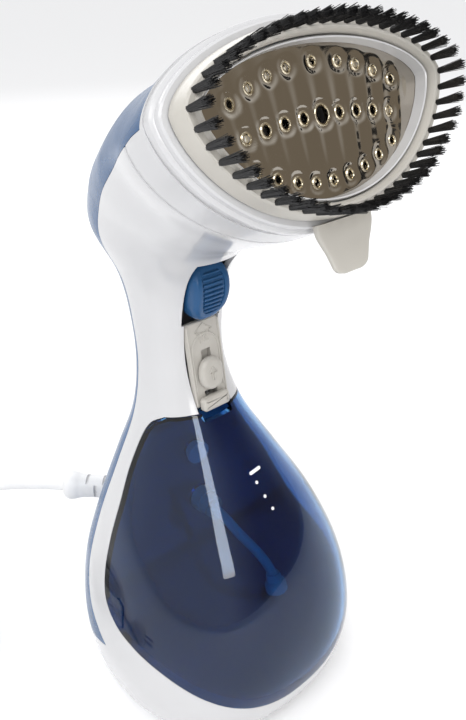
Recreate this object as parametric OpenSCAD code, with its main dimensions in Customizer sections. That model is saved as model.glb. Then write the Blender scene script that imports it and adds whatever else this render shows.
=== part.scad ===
// Handheld garment steamer with a detachable water tank and a lift-off bristle brush.
// Millimetres, +Z up, front towards -Y, origin at the middle of the base's resting face.

/* [Base and tank] */
// Width of the base at its widest
base_w = 125; // [105:1:150]
// Depth of the base, front to back
base_d = 124; // [104:1:150]
// Height of the tank's top edge above the table
tank_top = 143; // [135:1:175]
// Wall of the water tank
tank_wall = 2.2; // [1.6:0.1:3]
// Diameter of the non-slip pad under the base
pad_d = 78; // [60:1:84]

/* [Grip] */
// Height from the tank's top edge to the middle of the head
grip_h = 122; // [118:1:150]
// Width of the grip
grip_w = 38; // [34:1:46]
// Depth of the grip, front to back
grip_d = 36; // [33:1:44]
// Wall of the housing shells
wall = 2.6; // [2.4:0.1:3.2]
// Thickness of the rear cover
cover_t = 1.3; // [1:0.1:1.6]

/* [Head] */
// Width of the head at its face
head_w = 112; // [98:1:134]
// Height of the head's face, measured along it
head_h = 62; // [56:1:74]
// Backward lean of the head's face from upright, degrees
head_tilt = 21; // [10:1:30]
// Reach of the face's middle in front of the base's middle
head_reach = 44; // [38:1:52]
// Width of the brush frame's opening
brush_open_w = 94; // [78:1:98]
// Height of the brush frame's opening
brush_open_h = 46; // [38:1:50]
// Number of bristle tufts
tufts = 48; // [30:1:56]
// Length of the bristles
bristle_l = 9.5; // [7:0.5:14]

/* [Trigger and lock] */
// Width of the trigger
trigger_w = 19; // [15:0.5:22]
// Height of the trigger
trigger_h = 27; // [22:1:30]
// Swing of the trigger, degrees
trigger_swing = 7; // [4:1:8]
// Diameter of the trigger's pivot pin
pivot_d = 3; // [2.5:0.1:4]
// Travel of the steam lock's knob
lock_travel = 7; // [4:0.5:7.5]
// Travel of the tank's latch
latch_travel = 2; // [1:0.25:2.25]

/* [Cord] */
// Diameter of the mains cord
cord_d = 6.5; // [5:0.1:8]
// Diameter of a plug pin
pin_d = 4.8; // [4:0.1:4.8]
// Length of a plug pin
pin_l = 19; // [16:0.5:19]

/* [Hidden] */
$fn = 48;
around = 44;          // points round each ring of the body
per_station = 2.5;    // rings for each station of the body
gap = 0.35;           // clearance between separate bodies
fit = 0.05;           // radial clearance of a pin in its bore
kw = base_w / 125;
kd = base_d / 124;
kz = tank_top / 143;
hw = head_w / 112;
head_z = tank_top + grip_h;
grip_front = 5;       // how far the grip's front lies behind the base's middle
face_s = head_h / 2 * sin(head_tilt);
face_c = head_h / 2 * cos(head_tilt);
face_mid = 8;         // the face is widest this far above its middle
// Each station: front point (reach, height), rear point (reach, height), half width,
// exponent across, exponent along, place of the widest point from front 0 to rear 1.
stations = [
    [43 * kd, 1, -43 * kd, 1, 45 * kw, 0.87, 0.87, 0.5],
    [57 * kd, 5, -53 * kd, 6, 57 * kw, 0.87, 0.87, 0.5],
    [63 * kd, 17 * kz, -58 * kd, 18 * kz, 61.5 * kw, 0.87, 0.87, 0.5],
    [64 * kd, 36 * kz, -60 * kd, 38 * kz, 62.5 * kw, 0.87, 0.87, 0.5],
    [58 * kd, 60 * kz, -59 * kd, 62 * kz, 58.5 * kw, 0.88, 0.88, 0.5],
    [45 * kd, 86 * kz, -54 * kd, 87 * kz, 49 * kw, 0.9, 0.9, 0.5],
    [26, 111 * kz, -48, 111 * kz, 36, 0.9, 0.9, 0.5],
    [7, tank_top - 8, -42, tank_top - 10, 24, 0.9, 0.9, 0.5],
    [-grip_front + 1, tank_top + 0.115 * grip_h, -grip_front - grip_d + 1, tank_top + 0.09 * grip_h,
        grip_w / 2, 0.87, 0.87, 0.5],
    [-grip_front - 1, tank_top + 0.287 * grip_h, -grip_front - grip_d - 0.5, tank_top + 0.266 * grip_h,
        grip_w / 2, 0.87, 0.87, 0.5],
    [-grip_front + 3, tank_top + 0.455 * grip_h, -grip_front - grip_d - 6, tank_top + 0.435 * grip_h,
        grip_w / 2 + 3, 0.9, 0.9, 0.5],
    [head_reach - 38, head_z - 54.5, head_reach - 101, head_z - 45, 30.5 * hw, 0.95, 0.95, 0.52],
    [head_reach - 28.5, head_z - 48, head_reach - 90.5, head_z - 24, 36 * hw, 0.96, 1, 0.55],
    [head_reach - 18, head_z - 43, head_reach - 72, head_z - 7, 42 * hw, 0.97, 1.05, 0.57],
    [head_reach - 7.5, head_z - 38.5, head_reach - 50.5, head_z + 9, 47 * hw, 0.98, 1.1, 0.59],
    [head_reach + 2.5, head_z - 34, head_reach - 30, head_z + 18, 53 * hw, 1, 1.15, 0.605],
    [head_reach + face_s, head_z - face_c, head_reach - face_s, head_z + face_c, head_w / 2, 1, 1.2,
        0.5 + face_mid / head_h]
];
last = len(stations) - 1;

// Catmull-Rom curve through a list of rows
function clampi(i, n) = min(max(i, 0), n);
function blend(a, b, c, d, u) =
    0.5 * (2 * b + (c - a) * u + (2 * a - 5 * b + 4 * c - d) * u * u + (3 * b - a - 3 * c + d) * u * u * u);
function along(rows, t) =
    let (n = len(rows) - 1, i = clampi(floor(t), n - 1), u = t - i)
    blend(rows[clampi(i - 1, n)], rows[i], rows[i + 1], rows[clampi(i + 2, n)], u);
function smooth(points, k) = [for (i = [0 : (len(points) - 1) * k]) along(points, i / k)];
function unit(v) = v / norm(v);
function spow(v, p) = sign(v) * pow(abs(v), p);

// One ring of the body's skin at station t, moved in by depth d
function ring(t, d) =
    let (
        s = along(stations, t),
        f = [s[0], s[1]],
        r = [s[2], s[3]],
        dir = unit(r - f),
        lift = [0, d * max(0, 1 - t / 3)],
        f2 = f + dir * d + lift,
        r2 = r - dir * d + lift,
        m = s[7]
    )
    [for (i = [0 : around - 1]) let (
        a = 360 * i / around,
        q = spow(cos(a), s[6]),
        p = q > 0 ? m * (1 - q) : m - (1 - m) * q,
        c = f2 + (r2 - f2) * p
    ) [(s[4] - d) * spow(sin(a), s[5]), -c[0], c[1]]];

// Solid between a list of rings with flat ends
module loft(rings) {
    n = len(rings[0]);
    k = len(rings);
    faces = concat(
        [[for (i = [0 : n - 1]) i]],
        [[for (i = [n - 1 : -1 : 0]) (k - 1) * n + i]],
        [for (j = [0 : k - 2], i = [0 : n - 1]) [j * n + i, (j + 1) * n + i, (j + 1) * n + (i + 1) % n]],
        [for (j = [0 : k - 2], i = [0 : n - 1]) [j * n + i, (j + 1) * n + (i + 1) % n, j * n + (i + 1) % n]]
    );
    polyhedron([for (r = rings, p = r) p], faces, convexity = 8);
}

// The body's skin moved in by d; open_end carries it on past the face
module skin(d, open_end = 0) {
    k = floor(last * per_station);
    out = [0, -cos(head_tilt), sin(head_tilt)] * open_end;
    end = open_end > 0 ? [[for (p = ring(last, d)) p + out]] : [];
    loft(concat([for (j = [0 : k]) ring(j / per_station, d)], end));
}

// Extrude a side outline, given as (reach, height), across the full width
module side_prism(outline, w) {
    rotate([90, 0, -90]) linear_extrude(w, center = true) polygon(outline);
}

// Grow or shrink a side outline before extruding it
module side_offset(outline, w, d) {
    rotate([90, 0, -90]) linear_extrude(w, center = true) offset(delta = d) polygon(outline);
}

wide = base_w + 60;
// Side outline of the space that the tank fills
tank_edge = concat(
    [[90, tank_top - 1], [6, tank_top - 1], [0, tank_top - 1]],
    smooth([[-8, tank_top - 2.5], [-14, tank_top - 7], [-17, tank_top - 15], [-17, 114 * kz], [-14.5, 100 * kz],
        [-12.5, 85 * kz], [-10, 72 * kz], [-5, 61 * kz], [5 * kd, 54 * kz], [18 * kd, 50 * kz],
        [33 * kd, 45 * kz], [47 * kd, 37 * kz], [58 * kd, 28 * kz], [68 * kd, 17 * kz]], 3),
    [[90, 8 * kz]]
);
// Side outline of the rear cover
cover_edge = concat(
    smooth([[head_reach - 27, head_z + 24], [head_reach - 14, head_z + 20.5], [head_reach - 8, head_z + 17],
        [head_reach - 5.5, head_z + 13], [head_reach - 5, head_z + 6]], 3),
    smooth([[head_reach - 11, head_z + 2.8], [head_reach - 19, head_z - 2.5], [head_reach - 33, head_z - 11],
        [head_reach - 52, head_z - 25], [head_reach - 66, head_z - 38], [head_reach - 73, head_z - 50],
        [-31, tank_top + 0.5 * grip_h], [-29.5, tank_top + 0.28 * grip_h], [-28, tank_top + 0.1 * grip_h],
        [-28, tank_top - 10], [-28, 111 * kz], [-28, 88 * kz], [-26 * kd, 66 * kz], [-19 * kd, 50 * kz],
        [-8 * kd, 40 * kz], [-2 * kd, 36 * kz]], 3),
    [[-14 * kd, 30 * kz], [-34 * kd, 22 * kz], [-80 * kd, 16 * kz]],
    [[-110, 16 * kz], [-110, head_z + 60], [head_reach - 27, head_z + 60]]
);

// Place children on the head's face: x across, y up along it, z straight out
module at_head() {
    translate([0, -head_reach, head_z]) rotate([90 - head_tilt, 0, 0]) children();
}

// Leaf-shaped outline of the face: half width, top and bottom measured from its middle
function leaf(w, top, bottom, n = 60) = [for (i = [0 : n - 1]) let (
    a = 360 * i / n,
    y = spow(sin(a), 1.25)
) [w * cos(a), face_mid + (y > 0 ? (top - face_mid) * y : (face_mid + bottom) * y)]];
module leaf_plate(w, top, bottom, h) {
    linear_extrude(h) polygon(leaf(w, top, bottom));
}
module leaf_ring(outer, inner, h) {
    linear_extrude(h) difference() {
        polygon(leaf(outer[0], outer[1], outer[2]));
        polygon(leaf(inner[0], inner[1], inner[2]));
    }
}

// ---- Sizes on the face ----
face_w = head_w / 2;
face_h = head_h / 2;
open_w = brush_open_w / 2;
open_h = brush_open_h / 2;
plate_w = open_w - 0.3;
plate_h = open_h - 0.3;
bezel_t = 6;            // depth of the bezel's front ring
plate_z = bezel_t + 0.6;
plate_t = 1.2;
frame_rim = 5.5;          // width of the brush frame's ring
frame_z = bezel_t + gap;
frame_t = 7;
// Rows of steam holes: first step, pitch, height at the middle, curve
hole_rows = [[3, 7.6, 16.8, -0.0072], [0, 7.5, 2, -0.0028], [0, 7.3, -16.8, 0.0085]];
function hole_at(row, k) =
    let (x = sign(k) * row[0] + k * row[1])
    [x, row[2] + row[3] * x * x];
function hole_r(j, k) = j != 1 ? 1 : k == 0 ? 2.4 : abs(k) == 4 ? 1 : 1.3;

// ---- Sizes of the grip's controls ----
slide_lean = 11;        // lean of the control strip, degrees
strip_w = 17;
trigger_top = tank_top + 65.5;
trigger_low = trigger_top - trigger_h;
pivot_y = 8;
pivot_z = trigger_top - 4;
spring_y = 7.1;
spring_z = pivot_z - 7.5;
spring_l = 8.2;
switch_y = 17.2 + 14.5 * tan(trigger_swing);   // the trigger's arm meets its button at full swing
strip_top = trigger_low - 1;
lock_z = tank_top + 14.5;
latch_z = tank_top + 1;
// Reach of the control strip's face at a height
function strip_face(z) = -0.2 - (z - tank_top - 1) * tan(slide_lean);

// ---- Sizes of the water path ----
valve_z = 84 * kz;
spigot_r = 3;
pump_y = 32;
pump_z = 52;
pump_r = 11;
board_y = 33;

// ---- Cord ----
guard_turn = 45;        // swing of the cord guard to the left, degrees
guard_l = 44;
guard_r = cord_d / 2 + 3;
guard_z = 56;
cord_exit = [-31, 90.5, guard_z];
cord_route = [
    [-31, 90.5, 56], [-40, 99.5, 56], [-49, 108.3, 55.3], [-58, 116.6, 53.6], [-68, 124.5, 50.6],
    [-79, 130.2, 46.6], [-91, 133.4, 41.6], [-104, 134.6, 36.2], [-116, 134.2, 31.4], [-128, 132.4, 27.6],
    [-140, 129.6, 24.9], [-152, 125, 23.4], [-162, 117.5, 22.9], [-169.5, 108.5, 22.9], [-174, 99, 22.9],
    [-175.4, 89, 22.9]
];
coil_c = [-136, 82];
coil_r = 36;            // radius at the middle of the turns
coil_cols = 2;
coil_rows = 4;
tail_route = [
    [-175.4, 78, 3.4], [-174.5, 71, 3.4], [-172.3, 64, 3.4], [-169.5, 57, 3.4], [-166.7, 50, 3.4],
    [-164.6, 43, 3.4], [-164, 37, 3.4]
];
plug_at = [-164, 37];
plug_w = 35;
plug_h = 24;
plug_l = 40;

// Tube swept along points, each ring square to the path
module tube(path, r, sides, side_axis = [0, 0, 1]) {
    n = len(path) - 1;
    loft([for (j = [0 : n]) let (
        t = unit(path[min(j + 1, n)] - path[max(j - 1, 0)]),
        u = unit(cross(side_axis, t)),
        v = cross(t, u)
    ) [for (i = [0 : sides - 1]) path[j] + r * (cos(360 * i / sides) * u + sin(360 * i / sides) * v)]]);
}
module ring_of(r, bead) {
    rotate_extrude() translate([r, 0]) circle(bead, $fn = 24);
}
module rod(r, h) {
    cylinder(h, r, r);
}
module tube_ring(outer, inner, h) {
    difference() {
        rod(outer, h);
        translate([0, 0, -1]) rod(inner, h + 2);
    }
}
module block(size, r) {
    linear_extrude(size[2]) offset(r) square([size[0] - 2 * r, size[1] - 2 * r], center = true);
}
module pan_screw(l, r) {
    rod(r, l);
    translate([0, 0, l]) rod(r * 1.9, r * 1.1);
}

// ---- Housing ----
screw_spots = [
    [-50 * kd, 34 * kz], [-41, 104 * kz], [-34.5, tank_top + 6], [-36, tank_top + 0.4 * grip_h],
    [head_reach - 82, head_z - 34]
];
boss_r = 4;
module at_side(spot) {
    translate([0, -spot[0], spot[1]]) rotate([0, 90, 0]) children();
}
module cradle() {
    intersection() {
        skin(wall * 0.5);
        difference() {
            side_offset(tank_edge, wide, 2.2);
            side_prism(tank_edge, wide + 2);
        }
    }
}
module bosses() {
    // screw bosses, and the rib that the trigger's spring rests on
    intersection() {
        skin(wall * 0.5);
        translate([-wide / 2, spring_y + spring_l + 0.1, spring_z - 3.5]) cube([wide, 2, 7]);
    }
    intersection() {
        skin(cover_t + 0.3);
        for (s = screw_spots) at_side(s) cylinder(h = wide, r = boss_r, center = true, $fn = 24);
    }
}
module grip_slot() {
    // window for the trigger and the control strip in the grip's front
    translate([-strip_w / 2 - gap, -20, tank_top - 4])
        cube([strip_w + 2 * gap, 33, strip_top - tank_top + 4]);
    translate([-trigger_w / 2 - gap, -20, strip_top - 0.5])
        cube([trigger_w + 2 * gap, 33, trigger_top - strip_top + 1]);
}
module housing() {
    difference() {
        union() {
            difference() {
                skin(0);
                skin(wall, 3);
            }
            cradle();
            bosses();
        }
        side_prism(tank_edge, wide);
        difference() {
            side_prism(cover_edge, wide);
            skin(cover_t + 0.1);
        }
        grip_slot();
        translate([0, 0, -1]) rod(pad_d / 2 + 0.2, 2.6);
        at_guard() translate([0, 0, -20]) rod(guard_r + gap, 50);
        translate([0, 0, valve_z]) rotate([-90, 0, 0]) cylinder(h = 30, r = spigot_r + 1.7, $fn = 24);
        for (s = screw_spots) at_side(s) translate([0, 0, -11]) cylinder(h = 30, r = 1.3, $fn = 24);
        for (s = screw_spots) at_side(s) translate([0, 0, 7]) cylinder(h = wide, r = 3.2, $fn = 24);
    }
}
module half(side) {
    intersection() {
        housing();
        translate([side > 0 ? 0 : -wide, -wide, -5]) cube([wide, 2 * wide, head_z + 100]);
    }
}
module housing_left() {
    color("white") resize([base_w / 2, 0, 0]) half(-1);
}
module housing_right() {
    color("white") resize([base_w / 2, 0, 0]) half(1);
}
module rear_cover() {
    color("steelblue") difference() {
        intersection() {
            skin(0);
            side_offset(cover_edge, wide, -0.15);
        }
        skin(cover_t);
        at_guard() translate([0, 0, -20]) rod(guard_r + 2 * gap, 50);
    }
}
module base_pad() {
    color("dimgray") difference() {
        rod(pad_d / 2, 1.5);
        translate([0, 0, 1.2]) rod(pad_d / 2 - 12, 1);
    }
}

// ---- Head ----
module head_bezel() {
    color("white") at_head() {
        difference() {
            union() {
                leaf_ring([face_w, face_h, face_h], [open_w - 3, open_h - 3, open_h - 3], bezel_t * 0.6);
                translate([0, 0, bezel_t * 0.6]) leaf_ring([face_w - 1.2, face_h - 1.2, face_h - 1.2],
                    [open_w + 1.6, open_h + 1.6, open_h + 1.6], bezel_t * 0.4);
                translate([0, 0, -5]) leaf_ring([face_w - wall - 3, face_h - wall - 3, face_h - wall - 3],
                    [face_w - wall - 5.2, face_h - wall - 5.2, face_h - wall - 5.2], 5);
                for (x = [-1, 1], y = [-1, 1]) translate([x * 31, 2 + y * 16, -9]) rod(3, 9);
            }
            for (x = [-1, 1], y = [-1, 1]) translate([x * 31, 2 + y * 16, -10]) rod(1.2, 9);
        }
    }
}
module plate_gasket() {
    color("gray") at_head() translate([0, 0, bezel_t * 0.6])
        leaf_ring([open_w + 1.5, open_h + 1.5, open_h + 1.5], [plate_w - 2, plate_h - 2, plate_h - 2],
            plate_z - bezel_t * 0.6);
}
module steam_plate() {
    color("silver") at_head() translate([0, 0, plate_z]) difference() {
        union() {
            leaf_plate(plate_w, plate_h, plate_h, plate_t);
            for (j = [0 : 2], k = [-4 : 4]) translate(hole_at(hole_rows[j], k))
                translate([0, 0, plate_t]) ring_of(hole_r(j, k) + 0.9, 0.5);
            for (k = [-4 : 3]) let (
                a = (hole_at(hole_rows[0], k) + hole_at(hole_rows[0], k + 1)) / 2,
                b = (hole_at(hole_rows[2], k) + hole_at(hole_rows[2], k + 1)) / 2
            ) linear_extrude(plate_t + 0.4) polygon([a - [0.7, 0], b - [0.5, 0], b + [0.5, 0], a + [0.7, 0]]);
        }
        for (j = [0 : 2], k = [-4 : 4]) translate(hole_at(hole_rows[j], k))
            translate([0, 0, -1]) cylinder(h = plate_t + 3, r = hole_r(j, k), $fn = 24);
    }
}
module heater_block() {
    color("gainsboro") at_head() translate([0, 0, -14]) difference() {
        union() {
            leaf_plate(plate_w - 7, plate_h - 6, plate_h - 6, 14 + plate_z - 0.3);
            translate([0, 4, -4]) rod(5, 5);
        }
        translate([0, 4, -5]) rod(2, 12);
        translate([0, 1, 5]) leaf_plate(plate_w - 12, plate_h - 11, plate_h - 12, 30);
        for (s = [-1, 1]) translate([s * 17, 0, -1]) rod(3.35, 4);
    }
}
module heating_element() {
    color("dimgray") at_head() translate([0, 0, -14]) {
        for (s = [-1, 1]) translate([s * 17, 0, -9]) rod(3.3, 11.8);
        for (s = [-1, 1]) translate([s * 17, 0, -14]) rod(1, 5);
    }
}
module heater_bracket() {
    color("darkslategray") at_head() translate([0, 0, -12]) difference() {
        union() {
            leaf_ring([plate_w - 4, plate_h - 3, plate_h - 3], [plate_w - 6.8, plate_h - 5.8, plate_h - 5.8], 2.6);
            for (x = [-1, 1], y = [-1, 1]) translate([x * 31, 2 + y * 16, 0]) rod(3, 2.6);
            for (x = [-1, 1], y = [-1, 1]) hull() {
                translate([x * 31, 2 + y * 16, 0]) rod(2, 2.6);
                translate([x * 29, 2 + y * 11, 0]) rod(2, 2.6);
            }
        }
        for (x = [-1, 1], y = [-1, 1]) translate([x * 31, 2 + y * 16, -1]) rod(1.5, 5);
        translate([0, 0, -1]) leaf_plate(plate_w - 6.8, plate_h - 5.8, plate_h - 5.8, 5);
    }
}
module bracket_screws() {
    color("gray") at_head() for (x = [-1, 1], y = [-1, 1])
        translate([x * 31, 2 + y * 16, -12]) mirror([0, 0, 1]) translate([0, 0, -8]) pan_screw(8, 1.2);
}
module thermostat() {
    color("white") at_head() translate([0, -9, -14]) mirror([0, 0, 1]) {
        rod(6.5, 5);
        for (s = [-1, 1]) translate([s * 4 - 0.4, -2, 5]) cube([0.8, 4, 7]);
    }
}
module thermal_fuse() {
    color("silver") at_head() translate([22, 10, -16]) rotate([0, 90, 0]) {
        translate([0, 0, -6]) rod(2, 12);
        translate([0, 0, -11]) rod(0.5, 22);
    }
}

// ---- Brush ----
module brush_frame() {
    color("whitesmoke") at_head() {
        translate([0, 0, frame_z]) difference() {
            union() {
                leaf_ring([open_w + frame_rim, open_h + frame_rim - 1, open_h + frame_rim - 1],
                    [open_w + 2, open_h + 2, open_h + 2], frame_t * 0.5);
                translate([0, 0, frame_t * 0.5]) leaf_ring(
                    [open_w + frame_rim - 0.5, open_h + frame_rim - 1.5, open_h + frame_rim - 1.5],
                    [open_w, open_h, open_h], frame_t * 0.5);
            }
        }
        translate([0, 0, frame_z]) linear_extrude(3) hull() {
            translate([0, -face_h + 3]) square([24, 6], center = true);
            for (s = [-1, 1]) translate([s * 5, -face_h - 7]) circle(2.5, $fn = 32);
        }
    }
}
// Points spaced evenly by length round a closed outline
function lengths(p, i = 0, sum = 0, out = []) =
    i > len(p) ? out : lengths(p, i + 1, sum + norm(p[(i + 1) % len(p)] - p[i % len(p)]), concat(out, [sum]));
function evenly(p, n) =
    let (l = lengths(p), total = l[len(p)])
    [for (k = [0 : n - 1]) let (
        want = total * k / n,
        i = max([for (j = [0 : len(p) - 1]) if (l[j] <= want) j]),
        u = (want - l[i]) / (l[i + 1] - l[i])
    ) p[i] * (1 - u) + p[(i + 1) % len(p)] * u];
module bristles() {
    ring_pts = leaf(open_w + frame_rim - 1.7, open_h + frame_rim - 2.7, open_h + frame_rim - 2.7, 120);
    color("black") at_head() for (p = evenly(ring_pts, tufts)) translate([p[0], p[1], frame_z + frame_t - 2])
        cylinder(h = bristle_l + 2, r1 = 0.8, r2 = 1.5, $fn = 16);
}

// ---- Controls ----
module trigger() {
    // curved shell with a hinge barrel at its top
    profile = concat(
        smooth([[-pivot_y + 1, trigger_top - 0.5], [-3, trigger_top - 1.5], [1, trigger_top - 7],
            [2, trigger_top - 13], [0.5, trigger_top - 20], [-2.5, trigger_low + 0.8]], 4),
        [[-7, trigger_low + 0.8], [-7, trigger_top - 9], [-pivot_y + 1, trigger_top - 7]]
    );
    color("steelblue") difference() {
        union() {
            intersection() {
                side_prism(profile, trigger_w - 1);
                translate([0, -2, pivot_z - 9.5]) rotate([-8, 0, 0]) rotate([90, 0, 0])
                    linear_extrude(60, center = true) offset(5) square([trigger_w - 11, trigger_h - 9], center = true);
            }
            translate([0, pivot_y, pivot_z]) rotate([0, 90, 0]) cylinder(h = trigger_w - 3, r = 3, center = true);
            translate([-3, 3, pivot_z - 16]) cube([6, 11.6, 3]);
        }
        translate([0, pivot_y, pivot_z]) rotate([0, 90, 0])
            cylinder(h = trigger_w + 9, r = pivot_d / 2 + fit, center = true);
    }
}
module trigger_pin() {
    color("silver") translate([0, pivot_y, pivot_z]) rotate([0, 90, 0])
        cylinder(h = trigger_w + 5, r = pivot_d / 2, center = true);
}
module trigger_spring() {
    color("silver") translate([0, spring_y, spring_z]) rotate([-90, 0, 0]) tube_ring(2.6, 1.9, spring_l);
}
module micro_switch() {
    color("dimgray") translate([0, switch_y, pivot_z - 14.5]) {
        translate([-10, 0, -5]) cube([20, 6.5, 10]);
        color("firebrick") translate([-1.5, -2.2, -1]) cube([3, 3, 2]);
        for (x = [-8, 0, 8]) translate([x - 0.4, 6, -2]) cube([0.8, 4, 4]);
    }
}
module control_strip() {
    // flat tray in the grip's front that carries the knob and the latch
    z0 = tank_top + 0.5;
    z1 = strip_top - 0.4;
    color("ivory") difference() {
        side_prism([[strip_face(z0), z0], [strip_face(z1), z1], [strip_face(z1) - 2, z1], [-12.5, z1],
            [-12.5, z1 - 2], [strip_face(z1) - 2, z1 - 2], [strip_face(z0) - 2, z0 + 1], [-9.5, z0 + 1],
            [-9.5, z0]], strip_w);
        translate([-2.1 - gap, -5, lock_z - 5]) cube([4.2 + 2 * gap, 30, lock_travel + 10]);
        translate([-3 - gap, -5, tank_top - 1]) cube([6 + 2 * gap, 30, 6.5 + latch_travel]);
    }
}
module on_strip(z) {
    translate([0, -strip_face(z), z]) rotate([90 - slide_lean, 0, 0]) children();
}
module lock_knob() {
    color("whitesmoke") on_strip(lock_z) {
        translate([0, 0, gap]) intersection() {
            linear_extrude(4) scale([0.82, 1]) circle(7.2, $fn = 48);
            translate([0, 0, -14]) sphere(17.6, $fn = 64);
        }
        translate([-2.1, -3, -6]) cube([4.2, 6, 7]);
        translate([-5, -3, -8]) cube([10, 6, 3]);
    }
}
module tank_latch() {
    color("whitesmoke") on_strip(latch_z) {
        translate([0, 1, 0.4]) linear_extrude(3.4) offset(1.5, $fn = 24) square([11, 3], center = true);
        translate([-3, -1.6, -4]) cube([6, 4.4, 5]);
        translate([-4.5, 1.6, -5.5]) cube([9, 1.2, 2.2]);
    }
}
module latch_spring() {
    color("silver") on_strip(latch_z) translate([0, 2.9, -3]) rotate([-90, 0, 0]) tube_ring(1.1, 0.7, 4.2);
}

// ---- Water tank ----
module tank_body(d) {
    intersection() {
        skin(d);
        side_offset(tank_edge, wide, -gap - d);
    }
}
module water_tank() {
    color([0.1, 0.25, 0.55, 0.6]) resize([base_w, 0, 0]) difference() {
        tank_body(0);
        tank_body(tank_wall);
        translate([0, 30, valve_z]) rotate([90, 0, 0]) cylinder(h = 40, r = 6, $fn = 36);
        translate([0, 30, valve_z + 26]) rotate([90, 0, 0]) cylinder(h = 40, r = 5, $fn = 36);
    }
}
// Reach of the tank's rear wall at a height near the valve
valve_reach = -11.4;
plug_reach = -16;
module tank_valve() {
    color("white") translate([0, -valve_reach - 0.4, valve_z]) rotate([90, 0, 0]) {
        tube_ring(5.9, spigot_r + fit, 6);
        translate([0, 0, 6]) tube_ring(5, 2, 5);
    }
}
module filler_plug() {
    color("lightgray") translate([0, -plug_reach - 0.6, valve_z + 26]) rotate([90, 0, 0]) {
        rod(4.9, 5);
        translate([0, 0, 3.4]) rod(5.6, 1.4);
    }
}
module suction_tube() {
    y0 = -valve_reach - 0.4 - 11;
    color("teal") tube(smooth([[0, y0, valve_z], [0, y0 - 8, valve_z - 1], [1, y0 - 17, valve_z - 5],
        [4, y0 - 24, valve_z - 11], [7, y0 - 29, valve_z - 18], [9, y0 - 32, valve_z - 25]], 3), 2.2, 10, [1, 0, 0]);
}
module suction_filter() {
    y0 = -valve_reach - 43.4;
    color("lightsteelblue") translate([9, y0, valve_z - 25]) rotate([158, 0, 0]) {
        rod(3.4, 4);
        translate([0, 0, 4]) rod(5, 5);
    }
}
// ---- Water path in the housing ----
module pump() {
    color("dimgray") translate([0, pump_y, pump_z - 24]) {
        rod(pump_r, 30);
        translate([0, 0, 30]) rod(7, 8);
        translate([0, 0, 38]) rod(2.4, 7);
        translate([-4, -pump_r - 2.5, 6]) cube([8, 5, 16]);
    }
}
module inlet_spigot() {
    color("white") translate([0, -valve_reach + 13.4, valve_z]) rotate([90, 0, 0]) {
        difference() {
            union() {
                rod(spigot_r, 17);
                translate([0, 0, 5]) rod(spigot_r + 1.6, 2);
            }
            translate([0, 0, -1]) rod(1.6, 20);
        }
    }
}
module spigot_seal() {
    color("salmon") translate([0, -valve_reach + 4.2, valve_z]) rotate([90, 0, 0])
        tube_ring(spigot_r + 1.5, spigot_r + 0.02, 3);
}
module inlet_hose() {
    y0 = -valve_reach + 13.4;
    color("gainsboro") tube(smooth([[0, y0, valve_z], [0, y0 + 5, valve_z + 1], [0, y0 + 9, valve_z + 0.5],
        [0, pump_y, pump_z + 24]], 3), 2.2, 8, [1, 0, 0]);
}
module water_hose() {
    grip_x = grip_w / 2 - 6.4;
    color("gainsboro") tube(smooth([[pump_r + 2.4, pump_y, pump_z + 2], [18, 34, 70 * kz], [21, 33, 90 * kz],
        [20, 30, 110 * kz], [grip_x, 26, tank_top - 6], [grip_x, 23, tank_top + 0.2 * grip_h],
        [grip_x, 23, tank_top + 0.4 * grip_h], [8, 15, tank_top + 0.68 * grip_h], [0, 49 - head_reach, head_z - 19],
        [0, 22.5 - head_reach, head_z - 4.5]], 3), 2.2, 8, [1, 0, 0]);
}
module control_board() {
    color("seagreen") translate([-16, board_y, 92 * kz]) rotate([6, 0, 0]) cube([32, 1.6, 28]);
}
module board_parts() {
    color("black") translate([-16, board_y, 92 * kz]) rotate([6, 0, 0]) {
        translate([2, -8, 2]) cube([12, 7.9, 15]);
        translate([21, -0.1, 7]) rotate([90, 0, 0]) rod(4, 9);
        translate([18, -5, 15]) cube([11, 4.9, 10]);
    }
}
module heater_wires() {
    grip_x = 6.9 - grip_w / 2;
    color("orangered") for (s = [-1, 1]) tube(smooth([[-9 + 2 * s, board_y - 1, 122 * kz],
        [grip_x, 24 + 2.5 * s, tank_top + 4], [grip_x, 24 + 2.5 * s, tank_top + 0.2 * grip_h],
        [grip_x, 24 + 2.5 * s, tank_top + 0.45 * grip_h], [-9 + 5 * s, 16 + 9 * s, head_z - 34],
        [12 * s, 8, head_z - 16], [16.8 * s, 28.5 - head_reach, head_z - 8.5]], 3), 1.2, 8, [1, 0, 0]);
}
module mains_wires() {
    color("sienna") for (s = [-1, 1]) tube(smooth([[11, 48.4, guard_z + 1.6 * s], [16.5, 42.9, guard_z + 1 + 1.6 * s],
        [16 + 1.7 * s, 40, guard_z + 10], [13 + 1.7 * s, 37, 77 * kz], [10 + 1.7 * s, board_y, 91 * kz]], 3),
        1.3, 8, [1, 0, 0]);
}

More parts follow.
